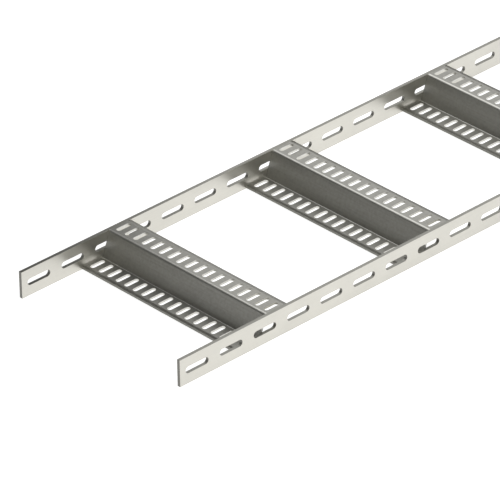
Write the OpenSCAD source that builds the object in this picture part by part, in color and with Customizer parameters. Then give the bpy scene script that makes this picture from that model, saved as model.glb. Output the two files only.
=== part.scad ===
// Cable ladder section: two slotted flat-bar side rails on edge, joined by
// folded Z-section rungs that are perforated along both flanges.
// +X runs along the rails, +Y across the ladder, +Z up. The origin is the
// middle of the ladder's footprint, on the level that it lies on.

/* [Ladder] */
// Clear width between the inner faces of the rails (mm)
inner_width = 300; // [150:50:600]
// Distance from one rung's middle to the next (mm)
rung_pitch = 300; // [150:50:600]
// Distance from the rails' ends to the middle of the nearest rung (mm)
end_distance = 150; // [60:10:300]

/* [Side rails] */
// Height of the flat bar, standing on edge (mm)
rail_height = 40; // [30:1:60]
// Thickness of the flat bar (mm)
rail_thickness = 5; // [4:0.5:8]
// Length of a rail slot, end to end (mm)
rail_slot_length = 40; // [20:1:48]
// Width of a rail slot (mm)
rail_slot_width = 10; // [7:0.5:14]
// Distance from one rail slot's middle to the next (mm)
rail_slot_pitch = 60; // [50:5:100]

/* [Rungs] */
// Width of a rung along the ladder, tip to tip of its lips (mm)
rung_width = 93.5; // [90:0.5:120]
// Thickness of the rung's sheet (mm)
sheet = 3; // [1.5:0.25:3.5]
// Lean of the rung's web from upright (degrees)
web_lean = 20.4; // [0:0.1:30]
// Inside radius of the folds between web and flanges (mm)
fold_radius = 1; // [0.5:0.5:3]
// Slope of the lip along each flange's free edge (degrees)
lip_slope = 20.4; // [10:0.1:60]
// Inside radius of the fold between flange and lip (mm)
lip_radius = 2; // [1:0.5:5]
// Flat length of the lip beyond its fold (mm)
lip_length = 7; // [4:0.5:10]

/* [Rung slots] */
// Length of a rung slot, end to end (mm)
rung_slot_length = 24; // [15:1:28]
// Width of a rung slot (mm)
rung_slot_width = 7.25; // [5:0.25:9]
// Distance from the middle of a flange's flat to its row of slots, toward the lip (mm)
rung_slot_shift = 0.5; // [0:0.25:2]
// Slots in each flange
rung_slot_count = 18; // [8:1:24]

/* [Hidden] */
// Round parts are exact: this only sets how finely they are drawn
$fn = 48;
// Cutters reach this far past the faces that they cut
past = 1;

// One node below for each rung
rung_count = 10;
ladder_length = (rung_count - 1) * rung_pitch + 2 * end_distance;
rail_slot_count = floor(ladder_length / rail_slot_pitch);
rail_middle_y = (inner_width + rail_thickness) / 2;
rung_slot_pitch = inner_width / rung_slot_count;

// The rung's section turns about the middle of its web, at half the rail's height
half_height = rail_height / 2;
// Middle-plane radii of the two folds
fold_middle = fold_radius + sheet / 2;
lip_middle = lip_radius + sheet / 2;
// Straight half of the web, up to the fold that brings the flange level with the rail's edge
web_half = (half_height - sheet / 2 - fold_middle * (1 - sin(web_lean))) / cos(web_lean);
// Where the flat of the flange starts and ends, along the ladder from the web's middle
flange_start = web_half * sin(web_lean) + fold_middle * cos(web_lean);
flange_end = rung_width / 2 - lip_length * cos(lip_slope)
    - (lip_middle + sheet / 2) * sin(lip_slope);
flange_flat = flange_end - flange_start;
slot_row = (flange_start + flange_end) / 2 + rung_slot_shift;

// Round-ended slot through a sheet that lies in the XY plane
module slot_cutter(length, width, depth) {
    reach = (length - width) / 2;
    for (side = [-1, 1])
        translate([side * reach, 0, 0])
            cylinder(d = width, h = depth, center = true);
    cube([2 * reach, width, depth], center = true);
}

// Flat bar on edge with a row of slots at half its height
module side_rail() {
    difference() {
        translate([-ladder_length / 2, -rail_thickness / 2, 0])
            cube([ladder_length, rail_thickness, rail_height]);
        for (i = [0 : rail_slot_count - 1])
            translate([(i - (rail_slot_count - 1) / 2) * rail_slot_pitch, 0, rail_height / 2])
                rotate([90, 0, 0])
                    slot_cutter(rail_slot_length, rail_slot_width, rail_thickness + 2 * past);
    }
}

// Straight stretch of the section: the sheet runs up the Y axis
module flat(length) {
    translate([-sheet / 2, 0])
        square([sheet, length]);
}

// Fold to the right: the sheet comes up the Y axis, and what follows goes on from its end
module fold(inside, angle) {
    middle = inside + sheet / 2;
    reach = 2 * (inside + sheet);
    translate([middle, 0]) {
        intersection() {
            difference() {
                circle(r = inside + sheet);
                circle(r = inside);
            }
            translate([-reach, 0])
                square([2 * reach, reach]);
            rotate(-angle)
                translate([-reach, -reach])
                    square([2 * reach, reach]);
        }
        rotate(-angle)
            translate([-middle, 0])
                children();
    }
}

// Flange and its lip, from the fold at the end of the web
module flange_section() {
    fold(fold_radius, 90 - web_lean) {
        flat(flange_flat);
        translate([0, flange_flat])
            fold(lip_radius, lip_slope)
                flat(lip_length);
    }
}

// Z section of a rung: the lower flange is the upper one turned half way round
module rung_section() {
    for (turn = [0, 180])
        rotate(turn - web_lean) {
            flat(web_half);
            translate([0, web_half])
                flange_section();
        }
}

// One rung between the rails, with a row of slots along each flange
module rung(index) {
    translate([(index - (rung_count + 1) / 2) * rung_pitch, 0, half_height])
        difference() {
            translate([0, inner_width / 2, 0])
                rotate([90, 0, 0])
                    linear_extrude(height = inner_width)
                        rung_section();
            for (side = [-1, 1], i = [0 : rung_slot_count - 1])
                translate([
                    side * slot_row,
                    (i - (rung_slot_count - 1) / 2) * rung_slot_pitch,
                    side * (half_height - sheet / 2)
                ])
                    slot_cutter(rung_slot_length, rung_slot_width, sheet + 2 * past);
        }
}

module side_rail_left() {
    color("gainsboro")
        translate([0, rail_middle_y, 0])
            side_rail();
}

module side_rail_right() {
    color("gainsboro")
        translate([0, -rail_middle_y, 0])
            side_rail();
}

module steel_rung(index) {
    color("silver")
        rung(index);
}

side_rail_left();
side_rail_right();
steel_rung(1);  // rung_01
steel_rung(2);  // rung_02
steel_rung(3);  // rung_03
steel_rung(4);  // rung_04
steel_rung(5);  // rung_05
steel_rung(6);  // rung_06
steel_rung(7);  // rung_07
steel_rung(8);  // rung_08
steel_rung(9);  // rung_09
steel_rung(10);  // rung_10
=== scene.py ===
"""Finishes, stage and camera for the cable ladder section."""
import math

import bpy
from bpy.props import FloatProperty, FloatVectorProperty, PointerProperty
from bpy.types import Operator, Panel, PropertyGroup
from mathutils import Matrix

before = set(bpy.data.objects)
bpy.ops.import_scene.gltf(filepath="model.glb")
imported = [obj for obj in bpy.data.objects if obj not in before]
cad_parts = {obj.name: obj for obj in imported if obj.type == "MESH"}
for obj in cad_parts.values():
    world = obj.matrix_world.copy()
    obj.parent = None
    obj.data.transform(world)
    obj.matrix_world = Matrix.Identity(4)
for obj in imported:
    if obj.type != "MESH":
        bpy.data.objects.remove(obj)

bl_info = {
    "name": "Cable ladder section",
    "version": (1, 0, 0),
    "blender": (4, 5, 0),
    "location": "View3D > Sidebar > Ladder",
    "description": "Steel finishes, studio stage and camera for a slotted cable ladder section",
    "category": "Object",
}

RAILS = ("side_rail_left", "side_rail_right")
RUNGS = tuple(sorted(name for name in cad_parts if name.startswith("rung_")))

# Parts of a surface's normal between which the finish changes over, without their sign:
# along the bar where it is sawn, across the bar where it is rolled, and upward where a rung's
# surface isn't the upright wall of a slot
SAWN = (0.7, 0.95)
ROLLED = (0.6, 0.8)
SKIN = (0.15, 0.25)

# A rung's colours follow its section: the surface's normal, X over Z, is 0.37 on the lips,
# 0 on the flanges, -2.7 on the web and in between in the folds. The places below run from
# 0 to 1 between these two turns.
SECTION_TURNS = (0.5, -3.0)
FLANGE_END = 0.155
# Places between which the folds are painted the bright fold colour, a painted highlight where they
# tilt about 8 to 26 degrees from the flanges
FOLD_HIGHLIGHT = (0.185, 0.28)
WEB_START = 0.4
# Places between which the roughness of the flanges goes over to that of the web
ROUGHENING = (0.35, 0.6)

# Span of the streaks' and the mottling's noise added up
NOISE_SPAN = (0.6, 1.4)
# Height of the streaks (m) and how much of it shows
STREAK_HEIGHT = 0.00004
STREAK_STRENGTH = 0.12
# How much rougher the rails' edges are than their faces
EDGE_ROUGHER = 0.05

# Soft lights of the studio, seen from the ladder: azimuth and elevation of the middle,
# full brightness within and none beyond (degrees), and strength
LOBES = (
    (90, 45, 12, 38, 0.2),
    (128, 28, 8, 32, 0.29),
    (40, 4, 6, 24, 0.35),
    (-135, 10, 12, 42, 0.36),
    (-135, 44, 12, 42, 0.3),
    (-45, 46, 10, 36, 0.3),
    (0, 88, 10, 42, 0.5),
)
# Brightness of the rest of the studio
BASE = 0.04
# Softbox over the ladder: length and width (m), azimuth of its length (degrees),
# middle (m) and power (W)
SOFTBOX_SIZE = (3.0, 0.81)
SOFTBOX_TURN = 42.6
SOFTBOX_PLACE = (-0.656, 0.295, 0.5)
SOFTBOX_POWER = 6.7
# Glow that brings the floor's lit paint up to white
FLOOR_GLOW = 0.86

# Camera at the photograph's viewing angle: focal length and sensor width (mm), reach (m),
# place (m) and turn (degrees)
LENS = 374.3574
SENSOR_WIDTH = 36.0
CAMERA_REACH = (0.1, 100)
CAMERA_PLACE = (-5.25627696, -4.31314618, 3.57365616)
CAMERA_TURN = (58.96464052, 0.83293276, -43.53568938)


def linear(code):
    """Scene-linear colour of an sRGB hex code such as D1CFC7, with full alpha."""
    values = [int(code[i:i + 2], 16) / 255 for i in (0, 2, 4)]
    return [v / 12.92 if v <= 0.04045 else ((v + 0.055) / 1.055) ** 2.4 for v in values] + [1.0]


def colour(name, description, code):
    """Property that holds a colour, with its default given as an sRGB hex code."""
    return FloatVectorProperty(name=name, description=description, subtype="COLOR", size=4,
                               min=0.0, max=1.0, default=linear(code))


def add(tree, kind, settings=None, values=None, links=None):
    """Adds a node of one kind with its settings, socket values and incoming links."""
    node = tree.nodes.new(kind)
    for name, value in (settings or {}).items():
        setattr(node, name, value)
    for name, value in (values or {}).items():
        node.inputs[name].default_value = value
    for name, source in (links or {}).items():
        tree.links.new(source, node.inputs[name])
    return node


def new_material(name):
    """Empty node material."""
    material = bpy.data.materials.new(name)
    material.use_nodes = True
    material.node_tree.nodes.clear()
    return material


def dress(names, material):
    """Puts the material on CAD nodes, in place of what they came with."""
    for name in names:
        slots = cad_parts[name].data.materials
        slots.clear()
        slots.append(material)


def steel(tree, coords, base, roughness, stretch, grain, mottle, worn, smoother, edge_radius):
    """Steel surface over a base colour: streaks, soft mottling and softened edges.

    base and roughness are sockets. stretch is the Mapping scale that draws the streaks out
    along one axis. grain, the width of a streak, mottle, the size of a patch, and edge_radius
    are in metres. worn is how far both lighten and darken the colour, and smoother how far
    they take the roughness down."""
    along = add(tree, "ShaderNodeMapping", values={"Scale": stretch},
                links={"Vector": coords.outputs["Object"]})
    streaks = add(tree, "ShaderNodeTexNoise",
                  values={"Scale": 1 / grain, "Detail": 3.0, "Roughness": 0.6},
                  links={"Vector": along.outputs["Vector"]})
    clouds = add(tree, "ShaderNodeTexNoise", values={"Scale": 1 / mottle, "Detail": 2.0},
                 links={"Vector": coords.outputs["Object"]})
    both = add(tree, "ShaderNodeMath", {"operation": "ADD"},
               links={0: streaks.outputs["Fac"], 1: clouds.outputs["Fac"]})
    value = add(tree, "ShaderNodeMapRange",
                values={"From Min": NOISE_SPAN[0], "From Max": NOISE_SPAN[1],
                        "To Min": 1 - worn, "To Max": 1 + worn},
                links={"Value": both.outputs[0]})
    tone = add(tree, "ShaderNodeHueSaturation", links={"Color": base, "Value": value.outputs[0]})
    rough = add(tree, "ShaderNodeMath", {"operation": "MULTIPLY_ADD"}, {1: -smoother},
                {0: both.outputs[0], 2: roughness})
    soft = add(tree, "ShaderNodeBevel", {"samples": 4}, {"Radius": edge_radius})
    bump = add(tree, "ShaderNodeBump",
               values={"Strength": STREAK_STRENGTH, "Distance": STREAK_HEIGHT},
               links={"Height": streaks.outputs["Fac"], "Normal": soft.outputs["Normal"]})
    surface = add(tree, "ShaderNodeBsdfPrincipled", values={"Metallic": 1.0},
                  links={"Base Color": tone.outputs["Color"], "Roughness": rough.outputs[0],
                         "Normal": bump.outputs["Normal"]})
    add(tree, "ShaderNodeOutputMaterial", links={"Surface": surface.outputs[0]})


def studio_world():
    """World of soft lights in a few directions round the object."""
    world = bpy.data.worlds.new("studio")
    world.use_nodes = True
    tree = world.node_tree
    tree.nodes.clear()
    coords = add(tree, "ShaderNodeTexCoord")
    total = None
    for azimuth, elevation, inner, outer, strength in LOBES:
        az, el = math.radians(azimuth), math.radians(elevation)
        axis = (math.cos(az) * math.cos(el), math.sin(az) * math.cos(el), math.sin(el))
        near = add(tree, "ShaderNodeVectorMath", {"operation": "DOT_PRODUCT"}, {1: axis},
                   {0: coords.outputs["Generated"]})
        lobe = add(tree, "ShaderNodeMapRange", {"interpolation_type": "SMOOTHSTEP"},
                   {"From Min": math.cos(math.radians(outer)),
                    "From Max": math.cos(math.radians(inner)), "To Max": strength},
                   {"Value": near.outputs["Value"]})
        if total is None:
            total = lobe
        else:
            total = add(tree, "ShaderNodeMath", {"operation": "ADD"},
                        links={0: total.outputs[0], 1: lobe.outputs[0]})
    total = add(tree, "ShaderNodeMath", {"operation": "ADD"}, {1: BASE}, {0: total.outputs[0]})
    light = add(tree, "ShaderNodeBackground", links={"Strength": total.outputs[0]})
    add(tree, "ShaderNodeOutputWorld", links={"Surface": light.outputs[0]})
    return world


class LadderRailFinish(PropertyGroup):
    face: colour("Face", "Rolled side faces of the flat bar", "D1CFC7")
    edge: colour("Edge", "Narrow edges of the flat bar and long walls of its slots", "9F9E97")
    cut: colour("Cut end", "Sawn ends of the flat bar and round ends of its slots", "787772")
    roughness: FloatProperty(name="Roughness", description="Roughness of the rolled faces",
                             default=0.4, min=0, max=1)
    grain: FloatProperty(name="Grain", description="Width of a rolling streak", default=0.0018,
                         min=0.0001, unit="LENGTH")
    mottle: FloatProperty(name="Mottling", description="Size of a duller patch", default=0.045,
                          min=0.001, unit="LENGTH")


class LadderRungFinish(PropertyGroup):
    # The flange and web colours of one sheet differ as painted light and shade: the flanges painted
    # lighter, the web darker
    flange: colour("Flange", "Flat flanges and lips", "A6A59F")
    web: colour("Web", "Web and cut edges of the sheet", "989791")
    # The fold colour is a painted highlight along each fold
    fold: colour("Fold", "Burnished line along each fold", "DBDAD4")
    wall: colour("Slot wall", "Punched walls of the slots", "D2D1CB")
    roughness: FloatProperty(name="Roughness", description="Roughness of the flanges and folds",
                             default=0.43, min=0, max=1)
    web_roughness: FloatProperty(name="Web roughness", description="Roughness of the web",
                                 default=0.5, min=0, max=1)
    grain: FloatProperty(name="Grain", description="Width of a rolling streak", default=0.0025,
                         min=0.0001, unit="LENGTH")
    mottle: FloatProperty(name="Mottling", description="Size of a duller patch", default=0.004,
                          min=0.001, unit="LENGTH")


class LadderStage(PropertyGroup):
    floor_size: FloatProperty(name="Floor size", description="Side of the square floor",
                              default=40.0, unit="LENGTH")
    floor_gap: FloatProperty(name="Floor gap", description="Depth of the floor under the rails",
                             default=0.0005, unit="LENGTH")
    floor: colour("Floor", "Paint of the floor", "BCBCBC")


class LADDER_OT_rails(Operator):
    """Gives the side rails their finish"""
    bl_idname = "ladder.rails"
    bl_label = "Finish the side rails"

    def execute(self, context):
        finish = context.scene.ladder_rails
        # Cold-rolled flat bar: bright satin faces with faint streaks along the bar,
        # duller narrow edges and slot walls, and darker sawn ends and slot ends
        material = new_material("cold-rolled flat bar")
        tree = material.node_tree
        coords = add(tree, "ShaderNodeTexCoord")
        split = add(tree, "ShaderNodeSeparateXYZ", links={"Vector": coords.outputs["Normal"]})
        side = add(tree, "ShaderNodeMath", {"operation": "ABSOLUTE"}, links={0: split.outputs["Y"]})
        end = add(tree, "ShaderNodeMath", {"operation": "ABSOLUTE"}, links={0: split.outputs["X"]})
        sawn = add(tree, "ShaderNodeMapRange",
                   values={"From Min": SAWN[0], "From Max": SAWN[1]},
                   links={"Value": end.outputs[0]})
        narrow = add(tree, "ShaderNodeMix", {"data_type": "RGBA"},
                     {6: finish.edge, 7: finish.cut}, {0: sawn.outputs[0]})
        rolled = add(tree, "ShaderNodeMapRange",
                     values={"From Min": ROLLED[0], "From Max": ROLLED[1]},
                     links={"Value": side.outputs[0]})
        base = add(tree, "ShaderNodeMix", {"data_type": "RGBA"}, {7: finish.face},
                   {0: rolled.outputs[0], 6: narrow.outputs[2]})
        rough = add(tree, "ShaderNodeMapRange",
                    values={"To Min": finish.roughness + EDGE_ROUGHER, "To Max": finish.roughness},
                    links={"Value": rolled.outputs[0]})
        # Real streaks are about 0.2 mm wide: drawn wider so that they show
        steel(tree, coords, base.outputs[2], rough.outputs[0], stretch=(0.03, 1.0, 1.0),
              grain=finish.grain, mottle=finish.mottle, worn=0.03, smoother=0.05,
              edge_radius=0.0004)
        dress(RAILS, material)
        return {"FINISHED"}


class LADDER_OT_rungs(Operator):
    """Gives the rungs their finish"""
    bl_idname = "ladder.rungs"
    bl_label = "Finish the rungs"

    def execute(self, context):
        finish = context.scene.ladder_rungs
        # Hot-rolled and pickled sheet: grey and finely mottled, with a painted highlight as a
        # bright band along the folds, painted light and shade between flanges and web, and bright
        # in the punched slots
        material = new_material("pickled hot-rolled sheet")
        tree = material.node_tree
        coords = add(tree, "ShaderNodeTexCoord")
        split = add(tree, "ShaderNodeSeparateXYZ", links={"Vector": coords.outputs["Normal"]})
        turn = add(tree, "ShaderNodeMath", {"operation": "DIVIDE"},
                   links={0: split.outputs["X"], 1: split.outputs["Z"]})
        place = add(tree, "ShaderNodeMapRange",
                    values={"From Min": SECTION_TURNS[0], "From Max": SECTION_TURNS[1]},
                    links={"Value": turn.outputs[0]})
        section = add(tree, "ShaderNodeValToRGB", links={"Fac": place.outputs[0]})
        stops = section.color_ramp.elements
        # Flange and web stops differ only as painted light and shade on one sheet
        stops[0].position, stops[0].color = FLANGE_END, finish.flange
        stops[1].position, stops[1].color = WEB_START, finish.web
        # Painted highlight: the fold colour in a band of each fold
        for position in FOLD_HIGHLIGHT:
            stops.new(position).color = finish.fold
        level = add(tree, "ShaderNodeMath", {"operation": "ABSOLUTE"},
                    links={0: split.outputs["Z"]})
        skin = add(tree, "ShaderNodeMapRange",
                   values={"From Min": SKIN[0], "From Max": SKIN[1]},
                   links={"Value": level.outputs[0]})
        base = add(tree, "ShaderNodeMix", {"data_type": "RGBA"}, {6: finish.wall},
                   {0: skin.outputs[0], 7: section.outputs["Color"]})
        rough = add(tree, "ShaderNodeMapRange",
                    values={"From Min": ROUGHENING[0], "From Max": ROUGHENING[1],
                            "To Min": finish.roughness, "To Max": finish.web_roughness},
                    links={"Value": place.outputs[0]})
        # Real streaks and mottling are finer than 1 mm: drawn coarser so that they show
        steel(tree, coords, base.outputs[2], rough.outputs[0], stretch=(1.0, 0.04, 1.0),
              grain=finish.grain, mottle=finish.mottle, worn=0.12, smoother=0.06,
              edge_radius=0.0003)
        dress(RUNGS, material)
        return {"FINISHED"}


class LADDER_OT_stage(Operator):
    """Adds the floor, the lights and the camera"""
    bl_idname = "ladder.stage"
    bl_label = "Set the stage"

    def execute(self, context):
        scene = context.scene
        stage = scene.ladder_stage
        bpy.ops.object.select_all(action="DESELECT")
        bpy.ops.mesh.primitive_plane_add(size=stage.floor_size, location=(0, 0, -stage.floor_gap))
        floor = context.active_object
        floor.name = "floor"
        # Matt painted floor: its paint takes the ladder's shadow, and its pale glow,
        # which only the camera and reflections see, makes the white background
        material = new_material("matt painted floor")
        tree = material.node_tree
        paint = add(tree, "ShaderNodeBsdfDiffuse", values={"Color": stage.floor})
        path = add(tree, "ShaderNodeLightPath")
        seen = add(tree, "ShaderNodeMath", {"operation": "MAXIMUM"},
                   links={0: path.outputs["Is Camera Ray"], 1: path.outputs["Is Glossy Ray"]})
        seen = add(tree, "ShaderNodeMath", {"operation": "MAXIMUM"},
                   links={0: seen.outputs[0], 1: path.outputs["Is Transmission Ray"]})
        glow = add(tree, "ShaderNodeEmission", values={"Strength": FLOOR_GLOW})
        shine = add(tree, "ShaderNodeMixShader", links={0: seen.outputs[0], 2: glow.outputs[0]})
        both = add(tree, "ShaderNodeAddShader", links={0: paint.outputs[0], 1: shine.outputs[0]})
        add(tree, "ShaderNodeOutputMaterial", links={"Surface": both.outputs[0]})
        floor.data.materials.append(material)
        scene.world = studio_world()
        softbox = bpy.data.lights.new("softbox", "AREA")
        softbox.shape = "RECTANGLE"
        softbox.size, softbox.size_y = SOFTBOX_SIZE
        softbox.energy = SOFTBOX_POWER
        lamp = bpy.data.objects.new("softbox", softbox)
        scene.collection.objects.link(lamp)
        lamp.location = SOFTBOX_PLACE
        lamp.rotation_euler = (0, 0, math.radians(SOFTBOX_TURN))
        camera = bpy.data.cameras.new("camera")
        camera.lens = LENS
        camera.sensor_width = SENSOR_WIDTH
        camera.clip_start, camera.clip_end = CAMERA_REACH
        holder = bpy.data.objects.new("camera", camera)
        scene.collection.objects.link(holder)
        holder.location = CAMERA_PLACE
        holder.rotation_euler = [math.radians(v) for v in CAMERA_TURN]
        scene.camera = holder
        scene.view_settings.view_transform = "Standard"
        return {"FINISHED"}


class LADDER_PT_panel(Panel):
    bl_label = "Cable ladder section"
    bl_idname = "LADDER_PT_panel"
    bl_space_type = "VIEW_3D"
    bl_region_type = "UI"
    bl_category = "Ladder"

    def draw(self, context):
        for kind in STEPS:
            self.layout.operator(kind.bl_idname)


STEPS = (LADDER_OT_rails, LADDER_OT_rungs, LADDER_OT_stage)
GROUPS = {
    "ladder_rails": LadderRailFinish,
    "ladder_rungs": LadderRungFinish,
    "ladder_stage": LadderStage,
}


def register():
    for kind in (*GROUPS.values(), *STEPS, LADDER_PT_panel):
        bpy.utils.register_class(kind)
    for name, kind in GROUPS.items():
        setattr(bpy.types.Scene, name, PointerProperty(type=kind))


def unregister():
    for name in GROUPS:
        delattr(bpy.types.Scene, name)
    for kind in (LADDER_PT_panel, *STEPS, *GROUPS.values()):
        bpy.utils.unregister_class(kind)


def main():
    register()
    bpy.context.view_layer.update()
    bpy.ops.ladder.rails()
    bpy.ops.ladder.rungs()
    bpy.ops.ladder.stage()


if __name__ == "__main__":
    main()
